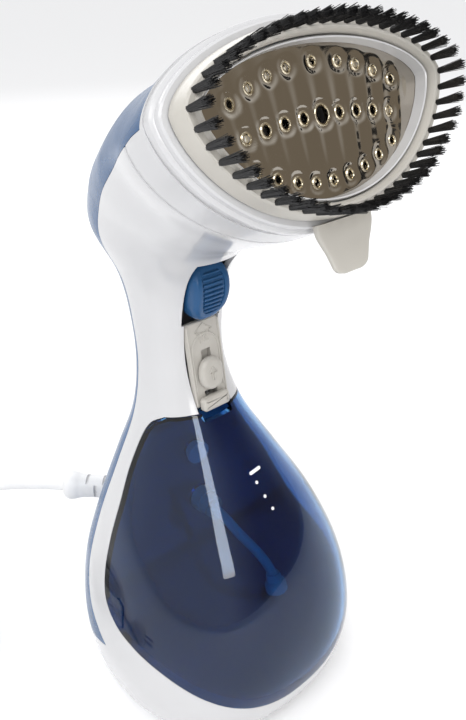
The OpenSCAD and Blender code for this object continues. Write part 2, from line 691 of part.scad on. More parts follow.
// ---- Cord ----
// Frame of the cord guard: z runs out along it, from the rear cover's surface
module at_guard() {
    translate(cord_exit) rotate([-90, 0, guard_turn]) translate([0, 0, -guard_l]) children();
}
module cord_clamp() {
    color("dimgray") at_guard() translate([0, 0, -21]) difference() {
        translate([-3.5, -9, 0]) cube([7, 18, 3]);
        translate([0, 0, -1]) rod(3.1, 5);
        for (s = [-1, 1]) translate([0, s * 6, -1]) rod(1, 5);
    }
}
module clamp_screws() {
    color("gray") at_guard() for (s = [-1, 1]) translate([0, s * 6, -22]) pan_screw(4.1, 0.9);
}
module housing_screws() {
    color("gray") for (s = screw_spots) at_side(s) translate([0, 0, -9]) pan_screw(16.2, 1.3);
}
module cord_guard() {
    color("white") at_guard() translate([0, 0, guard_l]) mirror([0, 0, 1]) rotate_extrude() polygon(concat(
        [[0, 0], [cord_d / 2 + 1, 0]],
        smooth([[cord_d / 2 + 3.2, 1], [cord_d / 2 + 4.4, 3.5], [cord_d / 2 + 4.2, 6], [cord_d / 2 + 3, 11],
            [cord_d / 2 + 2.6, 18], [guard_r, 30]], 3),
        [[guard_r, guard_l + 12.5], [guard_r + 1, guard_l + 12.5], [guard_r + 1, guard_l + 14.5], [0, guard_l + 14.5]]
    ));
}
module cord_tube() {
    color("white") tube(cord_route, cord_d / 2, 10);
}
module cord_coil() {
    half_w = coil_cols * cord_d / 2;
    top = coil_rows * cord_d + 0.15;
    color("white") translate([coil_c[0], coil_c[1], 0.15]) rotate_extrude($fn = 60)
        translate([coil_r - half_w, 0]) square([2 * half_w, top]);
}
module cord_tail() {
    color("white") tube(tail_route, cord_d / 2, 10);
}
module coil_tie() {
    half_w = coil_cols * cord_d / 2 + 0.4;
    top = coil_rows * cord_d + 0.5;
    color("dimgray") translate([coil_c[0], coil_c[1] - coil_r, 0]) rotate([0, -90, 0]) linear_extrude(6, center = true)
        difference() {
            translate([0, -half_w - 1]) square([top + 1, 2 * half_w + 2]);
            translate([0.12, -half_w]) square([top, 2 * half_w]);
        }
}
module plug_body() {
    color("white") translate([plug_at[0], plug_at[1], 0.1]) rotate([90, 0, 0]) {
        hull() {
            translate([0, cord_d / 2 + 0.5, 0]) cylinder(h = 1, r = cord_d / 2 + 0.5, $fn = 32);
            translate([0, plug_h / 2, 14]) cylinder(h = 1, r = 7.5, $fn = 32);
        }
        translate([0, plug_h / 2, 14]) linear_extrude(plug_l - 14) offset(6)
            square([plug_w - 12, plug_h - 12], center = true);
    }
}
module plug_pins() {
    color("silver") for (s = [-1, 1])
        translate([plug_at[0] + s * 9.5, plug_at[1] - plug_l - pin_l, plug_h / 2 + 0.1]) rotate([-90, 0, 0])
            rod(pin_d / 2, pin_l);
}

housing_left();
housing_right();
rear_cover();
base_pad();
head_bezel();
plate_gasket();
steam_plate();
heater_block();
heating_element();
heater_bracket();
thermostat();
thermal_fuse();
bracket_screws();
brush_frame();
bristles();
trigger();
trigger_pin();
trigger_spring();
micro_switch();
control_strip();
lock_knob();
tank_latch();
latch_spring();
water_tank();
tank_valve();
suction_tube();
suction_filter();
filler_plug();
pump();
inlet_spigot();
spigot_seal();
water_hose();
inlet_hose();
control_board();
board_parts();
heater_wires();
mains_wires();
cord_clamp();
clamp_screws();
housing_screws();
cord_guard();
cord_tube();
cord_coil();
cord_tail();
coil_tie();
plug_body();
plug_pins();
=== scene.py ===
"""Handheld garment steamer: the looks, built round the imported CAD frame.

Shapes are worked out in millimetres, in the CAD's own frame (+Z up, front towards -Y),
and are scaled to metres when a mesh is made.
"""
import math
import random

import bmesh
import bpy
import numpy as np
from mathutils import Matrix, Vector


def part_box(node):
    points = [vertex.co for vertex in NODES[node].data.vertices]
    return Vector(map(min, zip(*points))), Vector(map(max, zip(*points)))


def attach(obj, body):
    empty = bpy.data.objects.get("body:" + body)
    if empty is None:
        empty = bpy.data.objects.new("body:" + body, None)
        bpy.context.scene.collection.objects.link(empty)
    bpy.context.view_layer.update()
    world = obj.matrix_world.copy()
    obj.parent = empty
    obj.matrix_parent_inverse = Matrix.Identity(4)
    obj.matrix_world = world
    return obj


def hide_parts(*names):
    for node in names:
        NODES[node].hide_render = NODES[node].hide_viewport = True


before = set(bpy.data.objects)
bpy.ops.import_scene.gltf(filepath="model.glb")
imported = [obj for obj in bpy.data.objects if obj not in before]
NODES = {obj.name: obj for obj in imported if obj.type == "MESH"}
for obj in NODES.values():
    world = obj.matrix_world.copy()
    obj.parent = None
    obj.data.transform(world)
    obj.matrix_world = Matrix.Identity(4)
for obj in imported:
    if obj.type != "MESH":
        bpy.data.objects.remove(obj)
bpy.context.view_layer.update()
MM = 0.001
rng = random.Random(7)


# ---- Camera, floor and light ----
def make_camera():
    right = Vector((0.7535, -0.6574, 0.0087))
    down = Vector((-0.3295, -0.3890, -0.8603))
    ahead = Vector((0.5689, 0.6454, -0.5097))
    data = bpy.data.cameras.new("camera")
    data.sensor_width = 36.0
    data.lens = 35.0
    data.clip_end = 60.0
    camera = bpy.data.objects.new("camera", data)
    turn = Matrix((right, -down, -ahead)).transposed().to_4x4()
    camera.matrix_world = Matrix.Translation(Vector((-0.1577, -0.1915, 0.3114))) @ turn
    bpy.context.scene.collection.objects.link(camera)
    bpy.context.scene.camera = camera


def area_light(name, place, target, size, power, colour=(1, 1, 1)):
    data = bpy.data.lights.new(name, "AREA")
    data.shape = "RECTANGLE"
    data.size, data.size_y = size
    data.energy = power
    data.color = colour
    light = bpy.data.objects.new(name, data)
    light.location = place
    light.rotation_euler = (Vector(target) - Vector(place)).to_track_quat("-Z", "Y").to_euler()
    bpy.context.scene.collection.objects.link(light)


def make_world():
    """Soft even light, with a dim warm side that the polished plate mirrors."""
    world = bpy.data.worlds.new("studio")
    bpy.context.scene.world = world
    world.use_nodes = True
    nt = world.node_tree
    coord = nt.nodes.new("ShaderNodeTexCoord")
    dot = nt.nodes.new("ShaderNodeVectorMath")
    dot.operation = "DOT_PRODUCT"
    dot.inputs[1].default_value = Vector((0.60, -0.80, 0.02)).normalized()
    nt.links.new(coord.outputs["Generated"], dot.inputs[0])
    ramp = nt.nodes.new("ShaderNodeValToRGB")
    ramp.color_ramp.elements[0].position = 0.55
    ramp.color_ramp.elements[0].color = (0.99, 0.995, 1.0, 1)
    ramp.color_ramp.elements[1].position = 0.92
    ramp.color_ramp.elements[1].color = (0.26, 0.225, 0.18, 1)
    nt.links.new(dot.outputs["Value"], ramp.inputs["Fac"])
    background = nt.nodes["Background"]
    nt.links.new(ramp.outputs["Color"], background.inputs["Color"])
    background.inputs["Strength"].default_value = 0.98
    bpy.context.scene.view_settings.view_transform = "Standard"


def make_stage():
    material = Maker("floor", (0.93, 0.93, 0.94), 0.7).done()
    mesh = bpy.data.meshes.new("floor")
    half = 14.0
    corners = [(-half, -half, 0), (half, -half, 0), (half, half, 0), (-half, half, 0)]
    mesh.from_pydata(corners, [], [(0, 1, 2, 3)])
    mesh.materials.append(material)
    floor = bpy.data.objects.new("floor", mesh)
    bpy.context.scene.collection.objects.link(floor)
    area_light("key", (-0.75, -0.35, 1.25), (0, 0, 0.17), (0.9, 0.7), 7)
    area_light("window", (-0.30, -1.05, 0.72), (0, 0, 0.12), (0.26, 0.62), 4)
    area_light("back", (0.3, 1.1, 0.9), (0, 0, 0.2), (1.2, 0.6), 6)


# ---- Materials ----
class Maker:
    """A Principled material with a few procedural layers."""

    def __init__(self, name, colour, rough, metal=0.0):
        self.material = bpy.data.materials.new(name)
        self.material.use_nodes = True
        self.nt = self.material.node_tree
        self.shader = self.nt.nodes["Principled BSDF"]
        self.shader.inputs["Base Color"].default_value = (*colour, 1)
        self.shader.inputs["Roughness"].default_value = rough
        self.shader.inputs["Metallic"].default_value = metal
        self.colour = colour
        self.coord = self.nt.nodes.new("ShaderNodeTexCoord").outputs["Object"]
        self.height = None

    def set(self, **values):
        for name, value in values.items():
            self.shader.inputs[name.replace("_", " ")].default_value = value
        return self

    def noise(self, scale, detail=3.0, stretch=(1, 1, 1)):
        mapping = self.nt.nodes.new("ShaderNodeMapping")
        mapping.inputs["Scale"].default_value = stretch
        self.nt.links.new(self.coord, mapping.inputs["Vector"])
        noise = self.nt.nodes.new("ShaderNodeTexNoise")
        noise.inputs["Scale"].default_value = scale
        noise.inputs["Detail"].default_value = detail
        self.nt.links.new(mapping.outputs["Vector"], noise.inputs["Vector"])
        return noise.outputs["Fac"]

    def vary(self, scale, amount, detail=3.0, stretch=(1, 1, 1)):
        """Colour that drifts lighter and darker by a share of itself."""
        ramp = self.nt.nodes.new("ShaderNodeValToRGB")
        low, high = ramp.color_ramp.elements
        low.position, high.position = 0.3, 0.7
        low.color = (*[c * (1 - amount) for c in self.colour], 1)
        high.color = (*[min(1, c * (1 + amount)) for c in self.colour], 1)
        self.nt.links.new(self.noise(scale, detail, stretch), ramp.inputs["Fac"])
        self.nt.links.new(ramp.outputs["Color"], self.shader.inputs["Base Color"])
        return self

    def wear(self, scale, low, high, detail=4.0, stretch=(1, 1, 1)):
        """Roughness that drifts between two values."""
        span = self.nt.nodes.new("ShaderNodeMapRange")
        span.inputs["From Min"].default_value = 0.3
        span.inputs["From Max"].default_value = 0.7
        span.inputs["To Min"].default_value = low
        span.inputs["To Max"].default_value = high
        self.nt.links.new(self.noise(scale, detail, stretch), span.inputs["Value"])
        self.nt.links.new(span.outputs["Result"], self.shader.inputs["Roughness"])
        return self

    def bump(self, scale, depth, detail=3.0, stretch=(1, 1, 1)):
        bump = self.nt.nodes.new("ShaderNodeBump")
        bump.inputs["Strength"].default_value = 0.6
        bump.inputs["Distance"].default_value = depth * MM
        self.nt.links.new(self.noise(scale, detail, stretch), bump.inputs["Height"])
        if self.height:
            self.nt.links.new(self.height, bump.inputs["Normal"])
        self.height = bump.outputs["Normal"]
        self.nt.links.new(self.height, self.shader.inputs["Normal"])
        return self

    def done(self):
        return self.material


def make_materials():
    m = {}
    m["white"] = (Maker("white_abs", (0.54, 0.54, 0.55), 0.2).vary(18, 0.02).wear(60, 0.15, 0.24)
                  .bump(900, 0.012).set(Coat_Weight=0.2, Coat_Roughness=0.06, IOR=1.45).done())
    m["blue"] = (Maker("blue_abs", (0.020, 0.080, 0.195), 0.24).vary(25, 0.05).wear(70, 0.18, 0.3)
                 .bump(900, 0.012).set(Specular_IOR_Level=0.22).done())
    m["tank"] = (Maker("tank_clear_blue", (0.085, 0.27, 0.56), 0.03).wear(45, 0.02, 0.05)
                 .bump(55, 0.03).set(Transmission_Weight=1.0, IOR=1.46, Specular_IOR_Level=0.25).done())
    m["cream"] = (Maker("cream_satin", (0.43, 0.41, 0.375), 0.34).vary(40, 0.03).wear(90, 0.28, 0.42)
                  .bump(1400, 0.015).done())
    m["frame"] = (Maker("frame_cream", (0.46, 0.44, 0.40), 0.36).vary(35, 0.04).wear(80, 0.3, 0.44)
                  .bump(1400, 0.015).done())
    m["bristle"] = (Maker("bristle_nylon", (0.006, 0.006, 0.007), 0.5).vary(300, 0.4)
                    .wear(400, 0.3, 0.5).done())
    m["plate"] = (Maker("polished_steel", (0.50, 0.46, 0.40), 0.07, 1.0).vary(30, 0.06, 4, (1, 0.3, 0.3))
                  .wear(50, 0.05, 0.12).bump(35, 0.05, 2).done())
    m["eyelet"] = (Maker("eyelet_steel", (0.74, 0.66, 0.50), 0.12, 1.0).vary(200, 0.05)
                   .wear(300, 0.08, 0.18).done())
    m["steel"] = (Maker("plain_steel", (0.55, 0.55, 0.56), 0.3, 1.0).vary(120, 0.08)
                  .wear(150, 0.22, 0.4, 4, (1, 1, 8)).bump(600, 0.01).done())
    m["cast"] = (Maker("cast_aluminium", (0.6, 0.6, 0.61), 0.5, 1.0).vary(90, 0.1)
                 .wear(140, 0.4, 0.6).bump(500, 0.05).done())
    m["dark"] = (Maker("dark_nylon", (0.035, 0.036, 0.040), 0.45).vary(80, 0.1)
                 .wear(100, 0.38, 0.55).bump(900, 0.03).done())
    m["silicone"] = (Maker("silicone", (0.56, 0.57, 0.57), 0.42).vary(60, 0.06)
                     .bump(500, 0.02).set(Subsurface_Weight=0.15, Subsurface_Scale=0.002).done())
    m["teal"] = (Maker("teal_tube", (0.10, 0.46, 0.47), 0.35).vary(60, 0.06)
                 .bump(400, 0.02).set(Subsurface_Weight=0.2, Subsurface_Scale=0.002).done())
    m["rubber"] = (Maker("pad_rubber", (0.12, 0.12, 0.125), 0.65).vary(90, 0.1)
                   .bump(1200, 0.05).done())
    m["board"] = (Maker("circuit_board", (0.02, 0.12, 0.05), 0.4).vary(160, 0.25, 1)
                  .wear(120, 0.3, 0.5).done())
    m["wire"] = (Maker("red_insulation", (0.42, 0.05, 0.03), 0.42).vary(90, 0.08)
                 .bump(500, 0.01).done())
    m["cord"] = (Maker("white_pvc", (0.74, 0.74, 0.745), 0.42).vary(60, 0.03).wear(120, 0.36, 0.5)
                 .bump(1500, 0.02).done())
    m["mark"] = (Maker("printed_white", (0.86, 0.87, 0.90), 0.5).vary(300, 0.03).done())
    # Painted shade: a darker copy of the blue plastic, for the floor of the trigger's recessed panel where
    # shade falls.
    m["shadow"] = (Maker("painted_shade_blue", (0.018, 0.062, 0.150), 0.4).vary(50, 0.08)
                   .wear(90, 0.32, 0.5).bump(1200, 0.02).done())
    return m


MATERIALS = make_materials()
CAD_LOOKS = {
    "board": ["control_board"],
    "cast": ["heater_block"],
    "cream": ["thermostat", "tank_valve", "inlet_spigot"],
    "dark": ["heater_bracket", "micro_switch", "pump", "board_parts", "cord_clamp"],
    "rubber": ["base_pad"],
    "silicone": ["plate_gasket", "filler_plug", "spigot_seal", "water_hose", "inlet_hose"],
    "steel": ["heating_element", "thermal_fuse", "bracket_screws", "trigger_pin", "clamp_screws",
              "housing_screws"],
    "wire": ["heater_wires", "mains_wires"],
}


def dress_cad_nodes():
    for look, names in CAD_LOOKS.items():
        for name in names:
            data = NODES[name].data
            data.materials.clear()
            data.materials.append(MATERIALS[look])


# ---- Mesh helpers ----
def raw_mesh(name, points, faces, smooth=35.0):
    """An object from points in millimetres, with consistent outward faces."""
    mesh = bpy.data.meshes.new(name)
    mesh.from_pydata([tuple(float(c) * MM for c in p) for p in points], [], faces)
    obj = bpy.data.objects.new(name, mesh)
    bpy.context.scene.collection.objects.link(obj)
    tidy_mesh(obj, smooth)
    return obj


def tidy_mesh(obj, smooth=35.0):
    bm = bmesh.new()
    bm.from_mesh(obj.data)
    bmesh.ops.remove_doubles(bm, verts=bm.verts, dist=1e-6)
    bmesh.ops.recalc_face_normals(bm, faces=bm.faces)
    bm.to_mesh(obj.data)
    bm.free()
    obj.data.shade_smooth()
    obj.data.set_sharp_from_angle(angle=math.radians(smooth))


def piece(obj, body, slot, look, *replaced):
    obj.data.materials.clear()
    obj.data.materials.append(MATERIALS[look])
    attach(obj, body)
    if replaced:
        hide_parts(*replaced)
    return obj


def loft_faces(rings, around, closed=False, caps=True, start=0):
    """Quads between rings of points, and a cap at each end unless the last ring joins the first."""
    faces = []
    for j in range(rings if closed else rings - 1):
        a, b = start + j * around, start + (j + 1) % rings * around
        for i in range(around):
            k = (i + 1) % around
            faces.append((a + i, a + k, b + k, b + i))
    if caps and not closed:
        faces.append(tuple(start + i for i in range(around)))
        faces.append(tuple(start + (rings - 1) * around + i for i in reversed(range(around))))
    return faces


def loft(name, rings, closed=False, caps=True, smooth=35.0):
    points = [p for r in rings for p in r]
    return raw_mesh(name, points, loft_faces(len(rings), len(rings[0]), closed, caps), smooth)


def boolean(obj, operation, *cutters):
    for cutter in cutters:
        modifier = obj.modifiers.new("cut", "BOOLEAN")
        modifier.solver = "MANIFOLD"
        modifier.operation = operation
        modifier.object = cutter
        graph = bpy.context.evaluated_depsgraph_get()
        mesh = bpy.data.meshes.new_from_object(obj.evaluated_get(graph))
        obj.modifiers.clear()
        obj.data = mesh
        bpy.data.objects.remove(cutter)
    return obj


def join(name, objects):
    """One object of several meshes, which keep their own materials."""
    bm = bmesh.new()
    materials = []
    for o in objects:
        first = len(materials)
        materials += list(o.data.materials)
        part = o.data.copy()
        part.transform(o.matrix_world)
        before = len(bm.faces)
        bm.from_mesh(part)
        bm.faces.ensure_lookup_table()
        for f in bm.faces[before:]:
            f.material_index += first
        bpy.data.meshes.remove(part)
        bpy.data.objects.remove(o)
    mesh = bpy.data.meshes.new(name)
    bm.to_mesh(mesh)
    bm.free()
    for m in materials:
        mesh.materials.append(m)
    obj = bpy.data.objects.new(name, mesh)
    bpy.context.scene.collection.objects.link(obj)
    mesh.shade_smooth()
    mesh.set_sharp_from_angle(angle=math.radians(35))
    return obj


def catmull(rows, t):
    rows = np.asarray(rows, float)
    n = len(rows) - 1
    i = min(max(int(math.floor(t)), 0), n - 1)
    u = t - i
    a, b, c, d = (rows[min(max(i + k, 0), n)] for k in (-1, 0, 1, 2))
    bend = (2 * a - 5 * b + 4 * c - d) * u * u + (3 * b - a - 3 * c + d) * u ** 3
    return 0.5 * (2 * b + (c - a) * u + bend)


def smooth_line(rows, k):
    return [catmull(rows, i / k) for i in range((len(rows) - 1) * k + 1)]


def spow(v, p):
    return math.copysign(abs(v) ** p, v)


def smoothstep(u):
    u = min(max(u, 0.0), 1.0)
    return u * u * (3 - 2 * u)


def box_between(name, low, high):
    (a, b, c), (d, e, f) = low, high
    points = [(x, y, z) for z in (c, f) for x, y in ((a, b), (d, b), (d, e), (a, e))]
    return loft(name, [points[:4], points[4:]])


def rod_between(name, a, b, radius, sides=48):
    """A cylinder from a to b."""
    a, b = Vector(a), Vector(b)
    turn = (b - a).to_track_quat("Z", "Y")
    ring = [turn @ Vector((radius * math.cos(t), radius * math.sin(t), 0))
            for t in (2 * math.pi * i / sides for i in range(sides))]
    return loft(name, [[a + p for p in ring], [b + p for p in ring]])


def revolve(name, profile, place, axis, sides=64, smooth=35.0, closed=False):
    """Turns a profile of (radius, distance) about an axis through place."""
    turn = Vector(axis).to_track_quat("Z", "Y")
    rings = []
    for radius, along in profile:
        rings.append([Vector(place) + turn @ Vector((radius * math.cos(t), radius * math.sin(t), along))
                      for t in (2 * math.pi * i / sides for i in range(sides))])
    return loft(name, rings, closed=closed, caps=not closed, smooth=smooth)


def swept(name, path, radius, sides=16):
    """A round tube along points; radius may be one number or one for each point."""
    path = [Vector(p) for p in path]
    radii = radius if isinstance(radius, (list, tuple)) else [radius] * len(path)
    rings, side = [], None
    for j, p in enumerate(path):
        ahead = (path[min(j + 1, len(path) - 1)] - path[max(j - 1, 0)]).normalized()
        if side is None:
            side = ahead.orthogonal().normalized()
        side = (side - ahead * side.dot(ahead)).normalized()
        other = ahead.cross(side)
        rings.append([p + radii[j] * (math.cos(t) * side + math.sin(t) * other)
                      for t in (2 * math.pi * i / sides for i in range(sides))])
    return loft(name, rings)


# ---- The cord ----
CORD_R = 3.25
CORD_ROUTE = [
    (-31, 90.5, 56), (-40, 99.5, 56), (-49, 108.3, 55.3), (-58, 116.6, 53.6), (-68, 124.5, 50.6),
    (-79, 130.2, 46.6), (-91, 133.4, 41.6), (-104, 134.6, 36.2), (-116, 134.2, 31.4), (-128, 132.4, 27.6),
    (-140, 129.6, 24.9), (-152, 125, 23.4), (-162, 117.5, 22.9), (-169.5, 108.5, 22.9), (-174, 99, 22.9),
    (-175.4, 89, 22.9),
]
COIL_CENTRE = (-136, 82)
COIL_RADIUS = 36
COIL_FLOOR = 3.4
# The turns' places from the top down: side (1 outer, -1 inner) and row
COIL_SLOTS = [(1, 3), (-1, 3), (-1, 2), (1, 2), (1, 1), (-1, 1), (-1, 0), (1, 0)]
COIL_START = 170        # degrees, where the cord meets the coil
FIRST_CHANGE = 490      # middle of the first change of place
TURN_STEP = 315         # from one change to the next
CHANGE_WIDTH = 40
COIL_END = 2706
PLUG_AT = (-164, 37)
TAIL_ROUTE = [
    (-174.5, 71, 3.4), (-172.3, 64, 3.4), (-169.5, 57, 3.4), (-166.7, 50, 3.4), (-164.6, 43, 3.4),
    (-164, 37, 3.4), (-164, 33, 3.6),
]


def coil_point(angle):
    spot = np.array(COIL_SLOTS[0], float)
    for k in range(1, len(COIL_SLOTS)):
        middle = FIRST_CHANGE + (k - 1) * TURN_STEP
        share = smoothstep((angle - middle + CHANGE_WIDTH / 2) / CHANGE_WIDTH)
        spot += share * (np.array(COIL_SLOTS[k], float) - np.array(COIL_SLOTS[k - 1], float))
    radius = COIL_RADIUS + spot[0] * CORD_R
    a = math.radians(angle)
    return np.array([COIL_CENTRE[0] + radius * math.cos(a), COIL_CENTRE[1] + radius * math.sin(a),
                     COIL_FLOOR + 2 * CORD_R * spot[1]])


def cord_line():
    inside_guard = [np.array(CORD_ROUTE[0], float) + np.array([9.0, -9.0, 0.0])]
    turns = [coil_point(a) for a in range(COIL_START + 10, COIL_END, 8)]
    tail = [np.array(p, float) for p in TAIL_ROUTE]
    rows = inside_guard + [np.array(p, float) for p in CORD_ROUTE] + turns + tail
    return smooth_line(rows, 4)[4:]


def make_cord(with_pieces):
    line = cord_line()
    data = bpy.data.curves.new("mains_cord", "CURVE")
    data.dimensions = "3D"
    data.bevel_depth = CORD_R * MM
    data.bevel_resolution = 5
    data.use_fill_caps = True
    spline = data.splines.new("POLY")
    spline.points.add(len(line) - 1)
    for point, p in zip(spline.points, line):
        point.co = (*(p * MM), 1)
    spline.use_smooth = True
    obj = bpy.data.objects.new("mains_cord", data)
    bpy.context.scene.collection.objects.link(obj)
    piece(obj, "root", "cord_white", "cord", "cord_tube", "cord_coil", "cord_tail")


def guard_axis():
    return Vector((-math.sin(math.radians(45)), math.cos(math.radians(45)), 0))


def make_guard():
    """Slotted strain relief: a flared collar, then a tapering neck into the rear cover."""
    r = CORD_R
    profile = [(0.4, 0), (r + 0.6, 0)] + [tuple(p) for p in smooth_line(
        [(r + 2.2, 0.3), (r + 3.6, 1.4), (r + 4.4, 3.8), (r + 4.1, 6.6), (r + 3.2, 10), (r + 2.8, 16),
         (r + 2.9, 24), (r + 3, 34)], 5)] + [(r + 3, 52), (0.4, 52)]
    end = Vector(CORD_ROUTE[0])
    guard = revolve("cord_guard", profile, end, -guard_axis(), sides=72, smooth=40)
    across = Vector((0, 0, 1)).cross(guard_axis())
    cutters = []
    for k in range(6):
        for side in (-1, 1):
            middle = end - guard_axis() * (13.5 + 4.6 * k)
            # staggered slots, upright on one pair of sides and level on the other
            up = Vector((0, 0, 1)) if k % 2 == 0 else across
            off = middle + up * side * (r + 2.4)
            wide = across if k % 2 == 0 else Vector((0, 0, 1))
            cutters.append(rod_box("slot", off, guard_axis(), up, wide, (1.7, 3.4, 8.4)))
    boolean(guard, "DIFFERENCE", *cutters)
    tidy_mesh(guard, 40)
    return piece(guard, "root", "cord_white", "cord", "cord_guard")


def rod_box(name, middle, along, up, wide, size):
    """A box about a middle, with its three directions and its full sizes."""
    a, u, w = (Vector(v) * s / 2 for v, s in zip((along, up, wide), size))
    ends = [[middle + s * a + p * u + q * w for p, q in ((-1, -1), (1, -1), (1, 1), (-1, 1))] for s in (-1, 1)]
    return loft(name, ends)


def make_tie():
    """A dark hook-and-loop strap round the coil's turns."""
    x, y = COIL_CENTRE[0], COIL_CENTRE[1] - COIL_RADIUS
    half_w, top, r = 2 * CORD_R + 0.5, 8 * CORD_R + 0.35, 2.6
    outline = []
    for cy, cz, start in ((half_w - r, top - r, 0), (-half_w + r, top - r, 90), (-half_w + r, r + 0.1, 180),
                          (half_w - r, r + 0.1, 270)):
        outline += [(cy + r * math.cos(math.radians(start + t)), cz + r * math.sin(math.radians(start + t)))
                    for t in range(0, 91, 15)]
    rings = []
    middle = np.mean(outline, axis=0)
    for px, grow in ((-3, 0.05), (-2.6, 0.9), (2.6, 0.9), (3, 0.05)):
        rings.append([(x + px, y + a + grow * np.sign(a - middle[0]),
                       max(0.02, b + grow * np.sign(b - middle[1]))) for a, b in outline])
    inner = [[(x + px, y + a, max(0.02, b)) for a, b in outline] for px in (3, -3)]
    tie = loft("coil_tie", rings + inner, closed=True, caps=False)
    return piece(tie, "root", "dark_plastic", "dark", "coil_tie")


def make_plug():
    """A moulded two-pin plug with a grip waist, and its pins."""
    x, y0 = PLUG_AT
    levels = [  # distance from the cord's end, half width, half height, corner, height of the middle
        (0, 3.7, 3.7, 3.7, 3.9), (3, 4.6, 4.4, 4.2, 4.6), (9, 7.6, 6.2, 5.5, 8.0), (14, 11.6, 9.0, 6, 10.6),
        (18, 14.6, 11.2, 6, 12), (24, 13.4, 10.4, 6, 12), (30, 15.4, 11.5, 6, 12.1), (37, 17.3, 11.9, 6, 12.1),
        (39.2, 17.2, 11.8, 6, 12.1), (40, 16.2, 10.8, 5.4, 12.1),
    ]
    rings = []
    for level in smooth_line(levels, 5):
        d, w, h, r, mid = level
        ring = []
        for cx, cz, start in ((w - r, h - r, 0), (-w + r, h - r, 90), (-w + r, -h + r, 180),
                              (w - r, -h + r, 270)):
            ring += [(x + cx + r * math.cos(math.radians(start + t)), y0 - d,
                      max(0.12, mid + cz + r * math.sin(math.radians(start + t)))) for t in range(0, 91, 10)]
        rings.append(ring)
    body = piece(loft("plug_body", rings, smooth=40), "root", "cord_white", "cord", "plug_body")
    low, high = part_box("plug_pins")
    pin_r = (high.z - low.z) / 2 / MM
    z = (high.z + low.z) / 2 / MM
    profile = [(0.05, 0), (pin_r - 1.1, 0), (pin_r - 0.35, 0.35), (pin_r, 1.2), (pin_r, 19), (0.05, 19)]
    pins = [revolve("pin", profile, (x + s * 9.5, low.y / MM, z), (0, 1, 0), sides=40) for s in (-1, 1)]
    pins = piece(join("plug_pins", pins), "root", "brass_pin", "steel", "plug_pins")
    return [body, pins]


# ---- The body's skin: the same stations as the CAD ----
# Front point (reach, height), rear point, half width, exponents across and along, widest place
STATIONS = [
    [43, 1, -43, 1, 45, 0.87, 0.87, 0.5],
    [57, 5, -53, 6, 57, 0.87, 0.87, 0.5],
    [63, 17, -58, 18, 61.5, 0.87, 0.87, 0.5],
    [64, 36, -60, 38, 62.5, 0.87, 0.87, 0.5],
    [58, 60, -59, 62, 58.5, 0.88, 0.88, 0.5],
    [45, 86, -54, 87, 49, 0.9, 0.9, 0.5],
    [26, 111, -48, 111, 36, 0.9, 0.9, 0.5],
    [7, 135, -42, 133, 24, 0.9, 0.9, 0.5],
    [-4, 157.03, -40, 153.98, 19, 0.87, 0.87, 0.5],
    [-6, 178.01, -41.5, 175.45, 19, 0.87, 0.87, 0.5],
    [-2, 198.51, -47, 196.07, 22, 0.9, 0.9, 0.5],
    [6, 210.5, -57, 220, 30.5, 0.95, 0.95, 0.52],
    [15.5, 217, -46.5, 241, 36, 0.96, 1, 0.55],
    [26, 222, -28, 258, 42, 0.97, 1.05, 0.57],
    [36.5, 226.5, -6.5, 274, 47, 0.98, 1.1, 0.59],
    [46.5, 231, 14, 283, 53, 1, 1.15, 0.605],
    [55.109, 236.059, 32.891, 293.941, 56, 1, 1.2, 0.629],
]
LAST = len(STATIONS) - 1
HEAD_TILT = math.radians(21)
HEAD_REACH = 44
HEAD_Z = 265
FACE_OUT = Vector((0, -math.cos(HEAD_TILT), math.sin(HEAD_TILT)))
FACE_UP = Vector((0, math.sin(HEAD_TILT), math.cos(HEAD_TILT)))
GAP = 0.35
WALL = 2.6
COVER_T = 1.3
AROUND = 144
RINGS_PER_STATION = 7
SEAM_AT = 15.12        # station of the fine groove behind the face
WIDE = 200


def skin_point(t, turn, d=0.0):
    """Point of the body's skin at station t, turn degrees round from the front, moved in by d."""
    s = catmull(STATIONS, t)
    front, rear = s[0:2], s[2:4]
    ahead = (rear - front) / np.linalg.norm(rear - front)
    lift = np.array([0, d * max(0, 1 - t / 3)])
    f2, r2 = front + ahead * d + lift, rear - ahead * d + lift
    q = spow(math.cos(turn), s[6])
    p = s[7] * (1 - q) if q > 0 else s[7] - (1 - s[7]) * q
    c = f2 + (r2 - f2) * p
    return ((s[4] - d) * spow(math.sin(turn), s[5]), -c[0], c[1])


def skin_ring(t, d=0.0):
    """One ring, with its points closer together where the skin turns fastest, at the front and rear."""
    turns = [2 * math.pi * i / AROUND for i in range(AROUND)]
    return [skin_point(t, a - 0.16 * math.sin(2 * a), d) for a in turns]


def skin(name, d, open_end=0.0, groove=False):
    ts = [j / RINGS_PER_STATION for j in range(LAST * RINGS_PER_STATION + 1)]
    depths = {t: d for t in ts}
    if groove:
        for step, depth in ((-0.045, 0), (-0.028, 0.32), (0.028, 0.32), (0.045, 0)):
            depths[SEAM_AT + step] = d + depth
    rings = [skin_ring(t, depths[t]) for t in sorted(depths)]
    if open_end:
        rings.append([tuple(Vector(p) + FACE_OUT * open_end) for p in rings[-1]])
    return loft(name, rings)


def tank_outline():
    curve = smooth_line([(-8, 140.5), (-14, 136), (-17, 128), (-17, 114), (-14.5, 100), (-12.5, 85), (-10, 72),
                         (-5, 61), (5, 54), (18, 50), (33, 45), (47, 37), (58, 28), (68, 17)], 8)
    return [(90, 142), (6, 142), (0, 142)] + [tuple(p) for p in curve] + [(90, 8)]


def cover_outline():
    top = smooth_line([(17, 289), (30, 285.5), (36, 282), (38.5, 278), (39, 271)], 8)
    side = smooth_line([(33, 267.8), (25, 262.5), (11, 254), (-8, 240), (-22, 227), (-29, 215), (-31, 204),
                        (-29.5, 177.16), (-28, 155.2), (-28, 133), (-28, 111), (-28, 88), (-26, 66), (-19, 50),
                        (-8, 40), (-2, 36)], 8)
    end = [(-14, 30), (-34, 22), (-80, 16), (-110, 16), (-110, 325), (17, 325)]
    return [tuple(p) for p in top] + [tuple(p) for p in side] + end


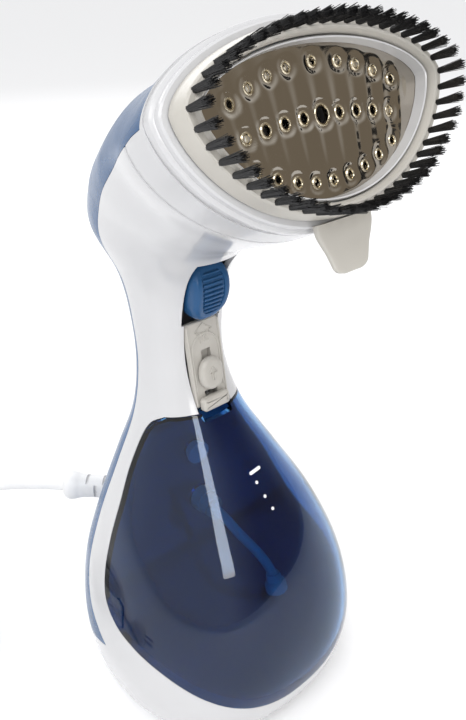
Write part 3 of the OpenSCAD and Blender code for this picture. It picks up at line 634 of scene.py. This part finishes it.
def moved_out(outline, d):
    """The outline with every side moved outward by d."""
    points = np.array(outline, float)
    ahead, behind = np.roll(points, -1, 0), np.roll(points, 1, 0)
    area = (points[:, 0] * ahead[:, 1] - ahead[:, 0] * points[:, 1]).sum()

    def normals(v):
        n = np.stack([v[:, 1], -v[:, 0]], 1) * np.sign(area)
        return n / np.linalg.norm(n, axis=1)[:, None]

    a, b = normals(points - behind), normals(ahead - points)
    mid = a + b
    return [tuple(p) for p in points + mid * (d * 2 / np.maximum((mid * mid).sum(1), 0.6))[:, None]]


def side_prism(name, outline, low=-WIDE / 2, high=WIDE / 2):
    rings = [[(x, -reach, z) for reach, z in outline] for x in (low, high)]
    return loft(name, rings)


def slot_boxes():
    """The windows in the grip's front for the control strip and the trigger."""
    strip_half, trigger_half = 8.5 + GAP, 9.5 + GAP
    return [box_between("strip_window", (-strip_half, -20, 139), (strip_half, 13, 180.5)),
            box_between("trigger_window", (-trigger_half, -20, 180), (trigger_half, 13, 209.5))]


def guard_hole(radius, name="guard_hole"):
    end = Vector(CORD_ROUTE[0])
    return rod_between(name, end - guard_axis() * 64, end - guard_axis() * 14, radius)


def make_housing(side):
    name = "housing_right" if side > 0 else "housing_left"
    shell = skin(name, 0, groove=True)
    boolean(shell, "DIFFERENCE", skin("hollow", WALL, 3))
    cradle = side_prism("cradle", moved_out(tank_outline(), 2.2))
    boolean(cradle, "INTERSECT", skin("inside", WALL * 0.5))
    boolean(shell, "UNION", cradle)
    cover_space = side_prism("cover_space", cover_outline())
    boolean(cover_space, "DIFFERENCE", skin("under_cover", COVER_T + 0.1))
    valve_hole = rod_between("valve_hole", (0, 0, 84), (0, 30, 84), 4.7)
    boolean(shell, "DIFFERENCE", side_prism("tank_space", tank_outline()), cover_space, *slot_boxes(),
            rod_between("pad_seat", (0, 0, -1), (0, 0, 1.6), 39.2, 96), guard_hole(6.6), valve_hole)
    seam = 0.03
    low, high = (seam, WIDE) if side > 0 else (-WIDE, -seam)
    boolean(shell, "INTERSECT", box_between("half", (low, -WIDE, -5), (high, WIDE, 360)))
    tidy_mesh(shell, 30)
    return piece(shell, "root", "white_plastic", "white", name)


def make_rear_cover():
    cover = skin("rear_cover", 0)
    boolean(cover, "INTERSECT", side_prism("edge", moved_out(cover_outline(), -0.15)))
    boolean(cover, "DIFFERENCE", skin("hollow", COVER_T), guard_hole(6.95))
    tidy_mesh(cover, 30)
    return piece(cover, "root", "blue_plastic", "blue", "rear_cover")


# ---- Head ----
FACE_MID = 8
OPEN_W, OPEN_H = 47, 23
FACE_W, FACE_H = 56, 31


def on_face(x, y, z):
    return Vector((x, -HEAD_REACH, HEAD_Z)) + FACE_UP * y + FACE_OUT * z


def leaf(w, top, bottom, n=160):
    """Leaf-shaped outline of the face, as (across, up) points."""
    out = []
    for i in range(n):
        a = 2 * math.pi * (i + 0.5) / n
        y = spow(math.sin(a), 1.25)
        out.append((w * math.cos(a), FACE_MID + ((top - FACE_MID) * y if y > 0 else (FACE_MID + bottom) * y)))
    return out


def leaf_rim(name, profile, smooth=35.0):
    """A ring of closed profile (half width, half height, distance out) swept round the leaf."""
    rings = [[on_face(x, y, z) for x, y in leaf(w, h, h)] for w, h, z in profile]
    return loft(name, rings, closed=True, caps=False, smooth=smooth)


def make_bezel():
    """The white ring behind the brush, and the lip that holds the plate."""
    step = [(FACE_W - 0.25, FACE_H - 0.25, 0), (FACE_W, FACE_H, 0.35), (FACE_W, FACE_H, 2.9),
            (FACE_W - 0.5, FACE_H - 0.5, 3.5), (FACE_W - 1.2, FACE_H - 1.2, 3.75),
            (FACE_W - 1.3, FACE_H - 1.3, 5.4), (FACE_W - 1.9, FACE_H - 1.9, 6),
            (OPEN_W + 1.6, OPEN_H + 1.6, 6), (OPEN_W + 1.6, OPEN_H + 1.6, 3.6), (OPEN_W - 3, OPEN_H - 3, 3.6),
            (OPEN_W - 3, OPEN_H - 3, 0)]
    ring = leaf_rim("bezel_ring", step)
    lip = leaf_rim("plate_lip", [(OPEN_W - 0.35, OPEN_H - 0.35, 7.9), (OPEN_W - 0.45, OPEN_H - 0.45, 11.4),
                                 (OPEN_W - 0.8, OPEN_H - 0.8, 11.9), (OPEN_W - 1.2, OPEN_H - 1.2, 11.6),
                                 (OPEN_W - 1.5, OPEN_H - 1.5, 7.9)])
    bosses = []
    for x in (-31, 31):
        for y in (-14, 18):
            bosses.append(rod_between("boss", on_face(x, y, -9), on_face(x, y, 0.5), 3))
    return piece(join("head_bezel", [ring, lip] + bosses), "root", "white_plastic", "white", "head_bezel")


HOLE_ROWS = [(3, 7.6, 16.8, -0.0072), (0, 7.5, 2, -0.0028), (0, 7.3, -16.8, 0.0085)]
PLATE_Z = 6.6
PLATE_T = 1.2


def hole_at(row, k):
    start, pitch, height, bow = HOLE_ROWS[row]
    x = math.copysign(start, k) * (k != 0) + k * pitch
    return x, height + bow * x * x


def hole_radius(row, k):
    if row != 1:
        return 1.0
    return 2.4 if k == 0 else 1.0 if abs(k) == 4 else 1.3


def flute_height(x, y):
    """Pressed flutes that fan out between the outer rows of holes."""
    top, low = hole_at(0, 0)[1], hole_at(2, 0)[1]
    share = min(max((y - low) / (top - low), -0.1), 1.1)
    pitch = 7.3 + 1.0 * share
    lean = x / pitch
    wave = 0.5 + 0.5 * math.cos(2 * math.pi * (lean - 0.5))
    fade = smoothstep(1.35 - abs(y - 1) / 17.5) * smoothstep((41 - abs(x)) / 6)
    return 0.38 * wave ** 1.2 * fade


def dimple(x, y):
    """Each hole sits in a shallow dish with a raised lip round it."""
    rise = 0.0
    for row in range(3):
        for k in range(-4, 5):
            hx, hy = hole_at(row, k)
            r = math.hypot(x - hx, y - hy)
            reach = hole_radius(row, k) + 2.3
            if r < reach + 1:
                rise -= 0.35 * smoothstep((reach + 0.6 - r) / 1.6)
    return rise


def make_plate():
    """The polished plate with its flutes: concentric leaf rings, so its edge follows the opening."""
    w, h = OPEN_W - 0.3, OPEN_H - 0.3
    around, steps = 220, 56
    rings = []
    edge = leaf(w, h, h, around)
    centre = (0.0, 2.0)
    for j in range(steps):
        s = 1 - j / steps
        ring = []
        for x, y in edge:
            px, py = centre[0] + (x - centre[0]) * s, centre[1] + (y - centre[1]) * s
            rise = flute_height(px, py) + dimple(px, py) if j else 0
            ring.append(on_face(px, py, PLATE_Z + PLATE_T + rise * smoothstep(j / 3)))
        rings.append(ring)
    back = [[on_face(x, y, PLATE_Z) for x, y in edge]]
    plate = loft("steam_plate", back + rings, smooth=60)
    holes = []
    for row in range(3):
        for k in range(-4, 5):
            x, y = hole_at(row, k)
            r = hole_radius(row, k)
            holes.append(rod_between("hole", on_face(x, y, PLATE_Z - 2), on_face(x, y, PLATE_Z + 4), r, 32))
    boolean(plate, "DIFFERENCE", *holes)
    tidy_mesh(plate, 50)
    return piece(plate, "root", "steel_plate", "plate", "steam_plate")


def make_eyelets():
    """Bright rolled rims round the steam holes."""
    rims = []
    for row in range(3):
        for k in range(-4, 5):
            x, y = hole_at(row, k)
            r = hole_radius(row, k)
            z = PLATE_Z + PLATE_T - 0.3
            profile = [(r - 0.05, -1.2), (r + 0.05, 0.1), (r + 0.3, 0.42), (r + 0.62, 0.4), (r + 0.9, 0.12),
                       (r + 0.95, -0.5), (r + 0.4, -1.2)]
            rims.append(revolve("rim", profile, on_face(x, y, z), FACE_OUT, sides=40, smooth=60, closed=True))
    return piece(join("steam_eyelets", rims), "root", "steel_plate", "eyelet")


# ---- Brush ----
FRAME_Z = 6.35
FRAME_TOP = 13.35


def make_brush_frame():
    w, h = OPEN_W, OPEN_H
    profile = [(w + 2, h + 2, FRAME_Z), (w + 5.1, h + 4.1, FRAME_Z), (w + 5.5, h + 4.5, FRAME_Z + 0.4),
               (w + 5.5, h + 4.5, FRAME_Z + 2.8), (w + 5.25, h + 4.25, FRAME_Z + 3.7),
               (w + 5, h + 4, FRAME_TOP - 1.3), (w + 4.8, h + 3.8, FRAME_TOP - 0.4),
               (w + 4.3, h + 3.4, FRAME_TOP),
               (w + 2.4, h + 2.2, FRAME_TOP), (w + 2, h + 1.9, FRAME_TOP + 0.5),
               (w + 1.4, h + 1.4, FRAME_TOP + 0.9), (w + 0.7, h + 0.7, FRAME_TOP + 0.6),
               (w + 0.15, h + 0.15, FRAME_TOP - 0.4), (w, h, FRAME_TOP - 1.4), (w, h, FRAME_Z + 3.6),
               (w + 2, h + 2, FRAME_Z + 3.5)]
    ring = leaf_rim("frame_ring", profile, 40)
    return piece(join("brush_frame", [ring, make_tab()]), "brush", "frame_white", "frame", "brush_frame")


def make_tab():
    """The release tab under the frame: it narrows to a round end and is dished for a thumb."""
    rows = [(-28, 12.4, 0), (-31, 12.2, 0), (-34, 11.0, 0.1), (-37, 9.4, 0.2), (-40, 8.3, 0.3),
            (-42.4, 7.4, 0.5),
            (-43.6, 6.0, 0.7), (-44.2, 4.0, 0.9)]
    rings = []
    for y, half, ease in smooth_line(rows, 4):
        ring = []
        for i in range(40):
            a = 2 * math.pi * i / 40
            x = half * spow(math.cos(a), 0.45)
            z = (1.5 - ease * 0.55) * spow(math.sin(a), 0.5)
            dish = 0.35 * smoothstep((-31 - y) / 5) * max(0, 1 - (x / half) ** 2) if z > 0 else 0
            ring.append(on_face(x, y, FRAME_Z + 1.5 + z - dish))
        rings.append(ring)
    return loft("tab", rings, smooth=50)


def evenly(points, n):
    """n points at even steps of length round a closed outline, with the outward direction at each."""
    p = np.array(points + points[:1], float)
    run = np.concatenate([[0], np.cumsum(np.linalg.norm(np.diff(p, axis=0), axis=1))])
    out = []
    for k in range(n):
        want = run[-1] * k / n
        i = max(int(np.searchsorted(run, want, "right")) - 1, 0)
        u = (want - run[i]) / (run[i + 1] - run[i])
        step = p[i + 1] - p[i]
        out.append((p[i] + step * u, np.array([step[1], -step[0]]) / np.linalg.norm(step)))
    return out


def make_bristles():
    """48 tufts: a dark core and fine filaments that flare and fray at their tips."""
    points, faces = [], []

    def strand(base, tip, bow, r0, r1, sides):
        start = len(points)
        rows = 4
        ahead = (tip - base).normalized()
        side = ahead.orthogonal().normalized()
        other = ahead.cross(side)
        for j in range(rows):
            s = j / (rows - 1)
            middle = base.lerp(tip, s) + bow * s * s
            r = r0 + (r1 - r0) * s
            for i in range(sides):
                a = 2 * math.pi * i / sides
                points.append(middle + side * (r * math.cos(a)) + other * (r * math.sin(a)))
        faces.extend(loft_faces(rows, sides, start=start))

    ring = leaf(OPEN_W + 3.8, OPEN_H + 2.8, OPEN_H + 2.8, 480)
    # the ring starts where the CAD's does, at its right-hand corner
    for (x, y), outward in evenly(ring, 48):
        top = 9.5 + rng.uniform(-0.4, 0.25)
        z0 = FRAME_TOP - 1.6
        lean = rng.uniform(-0.3, 0.3)
        base = on_face(x, y, z0)
        strand(base, on_face(x + 0.2 * lean, y, FRAME_TOP + top - 2.6), Vector(), 0.74, 1.05, 10)
        for n in range(58):
            a = 2.399963 * n
            spread = math.sqrt((n + 0.5) / 58)
            r0, r1 = 0.74 * spread, (1.4 + rng.uniform(-0.2, 0.3)) * spread
            ox, oy = math.cos(a), math.sin(a)
            foot = on_face(x + r0 * ox, y + r0 * oy, z0)
            end = on_face(x + r1 * ox + 0.4 * lean, y + r1 * oy, FRAME_TOP + top + rng.uniform(-1.1, 0.15))
            bow = (on_face(ox, oy, 0) - on_face(0, 0, 0)) * rng.uniform(-0.15, 0.3)
            strand(foot, end, bow, 0.13, 0.1, 4)
    tufts = raw_mesh("bristles", points, faces, 60)
    return piece(tufts, "brush", "bristle_black", "bristle", "bristles")


# ---- Controls ----
LEAN = math.radians(11)
STRIP_OUT = Vector((0, -math.cos(LEAN), math.sin(LEAN)))
STRIP_UP = Vector((0, math.sin(LEAN), math.cos(LEAN)))
ACROSS = Vector((1, 0, 0))
LOCK_Z = 157.5
LATCH_Z = 144


def strip_face(z):
    return -0.2 - (z - 144) * math.tan(LEAN)


def on_strip(z0, x, y, z):
    """A point by the strip's face: x across, y up it from height z0, z out of it."""
    return Vector((x, -strip_face(z0), z0)) + STRIP_UP * y + STRIP_OUT * z


def pad(name, outline, levels, place, smooth=40.0):
    """A closed pad: an outline of (x, y) shrunk by each level's inset, at each level's height."""
    points = np.array(outline, float)
    rings = []
    for inset, z in levels:
        ring = moved_out([tuple(p) for p in points], -inset) if inset else outline
        rings.append([place(x, y, z) for x, y in ring])
    return loft(name, rings, smooth=smooth)


def oval(w, h, n=64, power=0.9):
    return [(w * spow(math.cos(2 * math.pi * i / n), power), h * spow(math.sin(2 * math.pi * i / n), power))
            for i in range(n)]


def round_box(w, h, r, step=15):
    out = []
    for cx, cy, start in ((w - r, h - r, 0), (-w + r, h - r, 90), (-w + r, -h + r, 180), (w - r, -h + r, 270)):
        out += [(cx + r * math.cos(math.radians(start + t)), cy + r * math.sin(math.radians(start + t)))
                for t in range(0, 91, step)]
    return out


def arrow_outline(w, h):
    """A plain arrow that points up."""
    return [(-0.3 * w, -h), (0.3 * w, -h), (0.3 * w, 0.1 * h), (w, 0.1 * h), (0, h), (-w, 0.1 * h),
            (-0.3 * w, 0.1 * h)]


def line_on_strip(name, path, z0, height, radius):
    return swept(name, [on_strip(z0, x, y, height) for x, y in path], radius, 10)


def make_strip():
    """The cream strip with its steam symbol, a raised border and the arch that the knob slides in."""
    z0, z1 = 143.6, 180.0
    middle = (z0 + z1) / 2
    half = (z1 - z0) / 2 / math.cos(LEAN)

    def place(x, y, z):
        return on_strip(middle, x, y, z)

    plate = pad("plate", round_box(8.5, half, 1.2), [(0, -2.2), (0, -0.5), (0.45, 0)], place)
    window = [rod_box("window", on_strip(LOCK_Z, 0, 3.5, 0), STRIP_OUT, STRIP_UP, ACROSS, (12, 13.8, 4.9)),
              rod_box("window", on_strip(LATCH_Z, 0, 1.5, 0), STRIP_OUT, STRIP_UP, ACROSS, (12, 9, 6.7))]
    boolean(plate, "DIFFERENCE", *window)
    parts = [plate]
    arch_mid = LOCK_Z + 4
    arch = [(7.0 * math.cos(math.radians(a)), 6.2 + 7.0 * math.sin(math.radians(a))) for a in range(0, 181, 9)]
    arch = [(7.0, -12)] + arch + [(-7.0, -12)]
    parts.append(line_on_strip("arch", arch, arch_mid, 0.0, 0.5))
    roof = [(-3.2, 1.0), (-3.2, 2.2), (-4.4, 2.2), (0, 5.4), (4.4, 2.2), (3.2, 2.2), (3.2, 1.0)]
    parts.append(line_on_strip("roof", roof, 173.5, 0.05, 0.32))
    for x in (-1.8, 0, 1.8):
        wave = [(x + 0.45 * math.sin(t * 1.7), -2.8 + 4.6 * t / 6) for t in np.arange(0, 6.01, 0.5)]
        parts.append(line_on_strip("wave", wave, 173.5, 0.05, 0.34))
    for x in (-8.0, 8.0):
        parts.append(line_on_strip("border", [(x, -half + 1), (x, half - 1)], middle, 0.0, 0.5))
    for p in parts:
        tidy_mesh(p, 40)
    return piece(join("control_strip", parts), "root", "control_white", "cream", "control_strip")


def make_knob():
    """The oval knob: domed, with a raised arrow and a shallow thumb dish."""
    outline = oval(5.9, 7.2)
    levels = [(0.9, GAP), (0, GAP + 0.5), (0, 1.9), (0.25, 2.7), (0.9, 3.3), (2.0, 3.6),
              (3.6, 3.45), (5.0, 3.3)]

    def place(x, y, z):
        return on_strip(LOCK_Z, x, y, z)

    rings = []
    for inset, z in levels:
        share = 1 - inset / 5.9
        rings.append([place(x * share, y * (1 - inset / 7.2), z) for x, y in outline])
    cap = loft("cap", rings, smooth=40)
    arrow = [(x, y + 0.2) for x, y in arrow_outline(2.1, 2.9)]
    line = swept("arrow", [place(x, y, 3.45) for x, y in arrow + arrow[:2]], 0.28, 8)
    stem = rod_box("stem", place(0, 0, -3), STRIP_OUT, STRIP_UP, ACROSS, (7, 6, 4.2))
    shutter = rod_box("shutter", place(0, 2.15, -2.7), STRIP_OUT, STRIP_UP, ACROSS, (0.6, 20.7, 7.5))
    back = rod_box("back", place(0, 0, -6.5), STRIP_OUT, STRIP_UP, ACROSS, (3, 6, 10))
    knob = join("lock_knob", [cap, line, stem, shutter, back])
    return piece(knob, "lock_knob", "control_white", "cream", "lock_knob")


def make_latch():
    outline = [(x, y + 1) for x, y in round_box(7, 3, 1.6, 10)]

    def place(x, y, z):
        return on_strip(LATCH_Z, x, y, z)

    tab = pad("tab", outline, [(0.3, 0.4), (0, 0.7), (0, 2.7), (0.3, 3.3), (0.9, 3.65), (2.0, 3.75)], place)
    stem = rod_box("stem", place(0, 0.6, -1.5), STRIP_OUT, STRIP_UP, ACROSS, (5, 4.4, 6))
    hook = rod_box("hook", place(0, 2.2, -4.4), STRIP_OUT, STRIP_UP, ACROSS, (2.2, 1.2, 9))
    return piece(join("tank_latch", [tab, stem, hook]), "tank_latch", "control_white", "cream", "tank_latch")




def trigger_front(z):
    """Reach of the trigger's face at a height."""
    profile = [(-2.5, 182.3), (0.5, 188.5), (2, 195.5), (1, 201.5), (-3, 207), (-7, 208)]
    heights = [p[1] for p in profile]
    k = int(np.clip(np.searchsorted(heights, z) - 1, 0, len(profile) - 2))
    u = (z - heights[k]) / (heights[k + 1] - heights[k])
    return float(catmull([p[0] for p in profile], k + min(max(u, 0), 1)))


def trigger_outline(inset):
    """U-shaped outline of the trigger's face as (x, z): nearly flat on top, round below."""
    w, top, low = 9.0 - inset, 207.6 - inset, 182.3 + inset
    out = []
    for i in range(96):
        a = 2 * math.pi * i / 96
        up = math.sin(a)
        if up >= 0:
            x, z = w * spow(math.cos(a), 0.42) * (0.93 + 0.07 * (1 - up)), 196 + (top - 196) * spow(up, 0.55)
        else:
            x, z = w * spow(math.cos(a), 0.62), 196 + (196 - low) * spow(up, 0.78)
        out.append((x, z))
    return out


def make_trigger():
    levels = [(0.6, 9.0), (0, 7.5), (0, 3.0), (0.15, 1.5), (0.5, 0.55), (1.1, 0.12), (1.8, 0.0), (2.9, 0.05),
              (3.4, 0.3), (3.6, 0.9), (4.4, 1.15), (6.0, 1.2), (8.0, 1.2)]
    rings = []
    for inset, depth in levels:
        ring = []
        for x, z in trigger_outline(inset):
            crown = 0.9 * (x / 9) ** 2
            ring.append((x, min(-trigger_front(z) + depth + crown, 8.6), z))
        rings.append(ring)
    shell = loft("trigger_shell", rings, smooth=40)
    shell.data.materials.append(MATERIALS["blue"])
    parts = [shell]
    for k in range(9):
        z = 187.4 + 1.95 * k
        half = 4.9 * min(1, 0.78 + 0.06 * k)
        path = [(x, -trigger_front(z) + 0.75 + 0.9 * (x / 9) ** 2, z) for x in np.linspace(-half, half, 9)]
        rib = swept("rib", path, 0.52, 10)
        rib.data.materials.append(MATERIALS["blue"])
        parts.append(rib)
    # The recessed panel's floor is a darker blue: painted shade in the recess.
    panel = [(x * 0.97, min(-trigger_front(z) + 1.12 + 0.9 * (x / 9) ** 2, 8.6), z)
             for x, z in trigger_outline(3.75)]
    back = [(x, y + 0.4, z) for x, y, z in panel]
    floor = loft("panel", [back, panel], smooth=40)
    floor.data.materials.append(MATERIALS["shadow"])
    parts.append(floor)
    barrel = rod_between("barrel", (-8, 8, 204.5), (8, 8, 204.5), 3)
    barrel.data.materials.append(MATERIALS["blue"])
    boolean(barrel, "DIFFERENCE", rod_between("bore", (-12, 8, 204.5), (12, 8, 204.5), 1.55))
    arm = box_between("arm", (-3, 3, 188.5), (3, 14.6, 191.5))
    arm.data.materials.append(MATERIALS["blue"])
    obj = join("trigger", parts + [barrel, arm])
    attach(obj, "trigger")
    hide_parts("trigger")
    return obj


def make_spring(name, node, start, axis, length, radius, wire, turns, body="root"):
    """A wound compression spring with closed ends."""
    turn = Vector(axis).to_track_quat("Z", "Y")
    path = []
    for i in range(turns * 24 + 1):
        s = i / (turns * 24)
        a = 2 * math.pi * turns * s
        rise = wire + (length - 2 * wire) * smoothstep((s - 0.06) / 0.88) if turns > 3 else length * s
        path.append(Vector(start) + turn @ Vector((radius * math.cos(a), radius * math.sin(a), rise)))
    return piece(swept(name, path, wire, 8), body, "steel", "steel", node)


# ---- Tank ----
def make_tank():
    tank = skin("water_tank", 0)
    boolean(tank, "INTERSECT", side_prism("tank_edge", moved_out(tank_outline(), -GAP)))
    cavity = skin("cavity", 2.2)
    boolean(cavity, "INTERSECT", side_prism("cavity_edge", moved_out(tank_outline(), -GAP - 2.2)))
    notch = box_between("notch", (-7.6, -12, 138.6), (7.6, 3.5, 145))
    boolean(tank, "DIFFERENCE", cavity, rod_between("valve_hole", (0, -10, 84), (0, 30, 84), 6),
            rod_between("filler_hole", (0, -10, 110), (0, 30, 110), 5), notch)
    tidy_mesh(tank, 30)
    return piece(tank, "tank", "tank_plastic", "tank", "water_tank")


def surface_frame(t, turn):
    """A point of the skin with its outward direction and its two directions along the surface."""
    p = Vector(skin_point(t, turn))
    along = (Vector(skin_point(t + 0.02, turn)) - p).normalized()
    round_it = (Vector(skin_point(t, turn + 0.01)) - p).normalized()
    out = round_it.cross(along).normalized()
    if out.dot(p - Vector((0, p.y * 0.2, p.z))) < 0:
        out = -out
    return p, out, round_it, along


def make_level_marks():
    """A short bar for the fullest level, and three dots below it."""
    parts = []
    marks = [(6.225, 8, (3.4, 0.75)), (6.075, 5, (0.75, 0.75)), (5.85, 6, (0.75, 0.75)),
             (5.65, 7, (0.75, 0.75))]
    for t, degrees, (w, h) in marks:
        p, out, round_it, along = surface_frame(t, math.radians(degrees))
        outline = round_box(w, h, min(w, h) * 0.98, 15)
        rings = [[p + round_it * x * s + along * y * s + out * z for x, y in outline]
                 for s, z in ((1, -0.15), (1, 0.08), (0.9, 0.13))]
        parts.append(loft("mark", rings))
    return piece(join("level_marks", parts), "tank", "control_white", "mark")


def make_suction():
    y0 = 0.0           # where the tube leaves the valve
    route = [(0, y0, 84), (0, y0 - 8, 83), (1, y0 - 17, 79), (4, y0 - 24, 73), (7, y0 - 29, 66),
             (9, y0 - 32, 59)]
    line = smooth_line(route, 8)
    tube = swept("suction_tube", line, 2.2, 20)
    piece(tube, "tank", "teal_tube", "teal", "suction_tube")
    end = Vector(line[-1])
    aim = Vector((0, -math.sin(math.radians(22)), -math.cos(math.radians(22))))
    profile = [(0.1, -1), (3.2, -1), (3.5, 0), (3.6, 2.6), (4.6, 3.2), (5, 3.9), (5, 7.6), (4.5, 8.3),
               (0.1, 8.4)]
    weight = revolve("suction_filter", profile, end, aim, sides=48, smooth=40)
    piece(weight, "tank", "steel", "teal", "suction_filter")


def main():
    make_camera()
    make_world()
    make_stage()
    dress_cad_nodes()
    guard = make_guard()
    tie = make_tie()
    make_cord([guard, tie, *make_plug()])
    for side in (-1, 1):
        make_housing(side)
    make_rear_cover()
    make_bezel()
    make_plate()
    make_eyelets()
    make_brush_frame()
    make_bristles()
    make_strip()
    make_knob()
    make_latch()
    make_trigger()
    make_spring("trigger_spring", "trigger_spring", (0, 7.1, 197), (0, 1, 0), 8.2, 2.25, 0.35, 6)
    make_spring("latch_spring", "latch_spring", on_strip(LATCH_Z, 0, 2.9, -3), STRIP_UP, 4.2, 0.9, 0.2, 6)
    make_tank()
    make_level_marks()
    make_suction()


main()
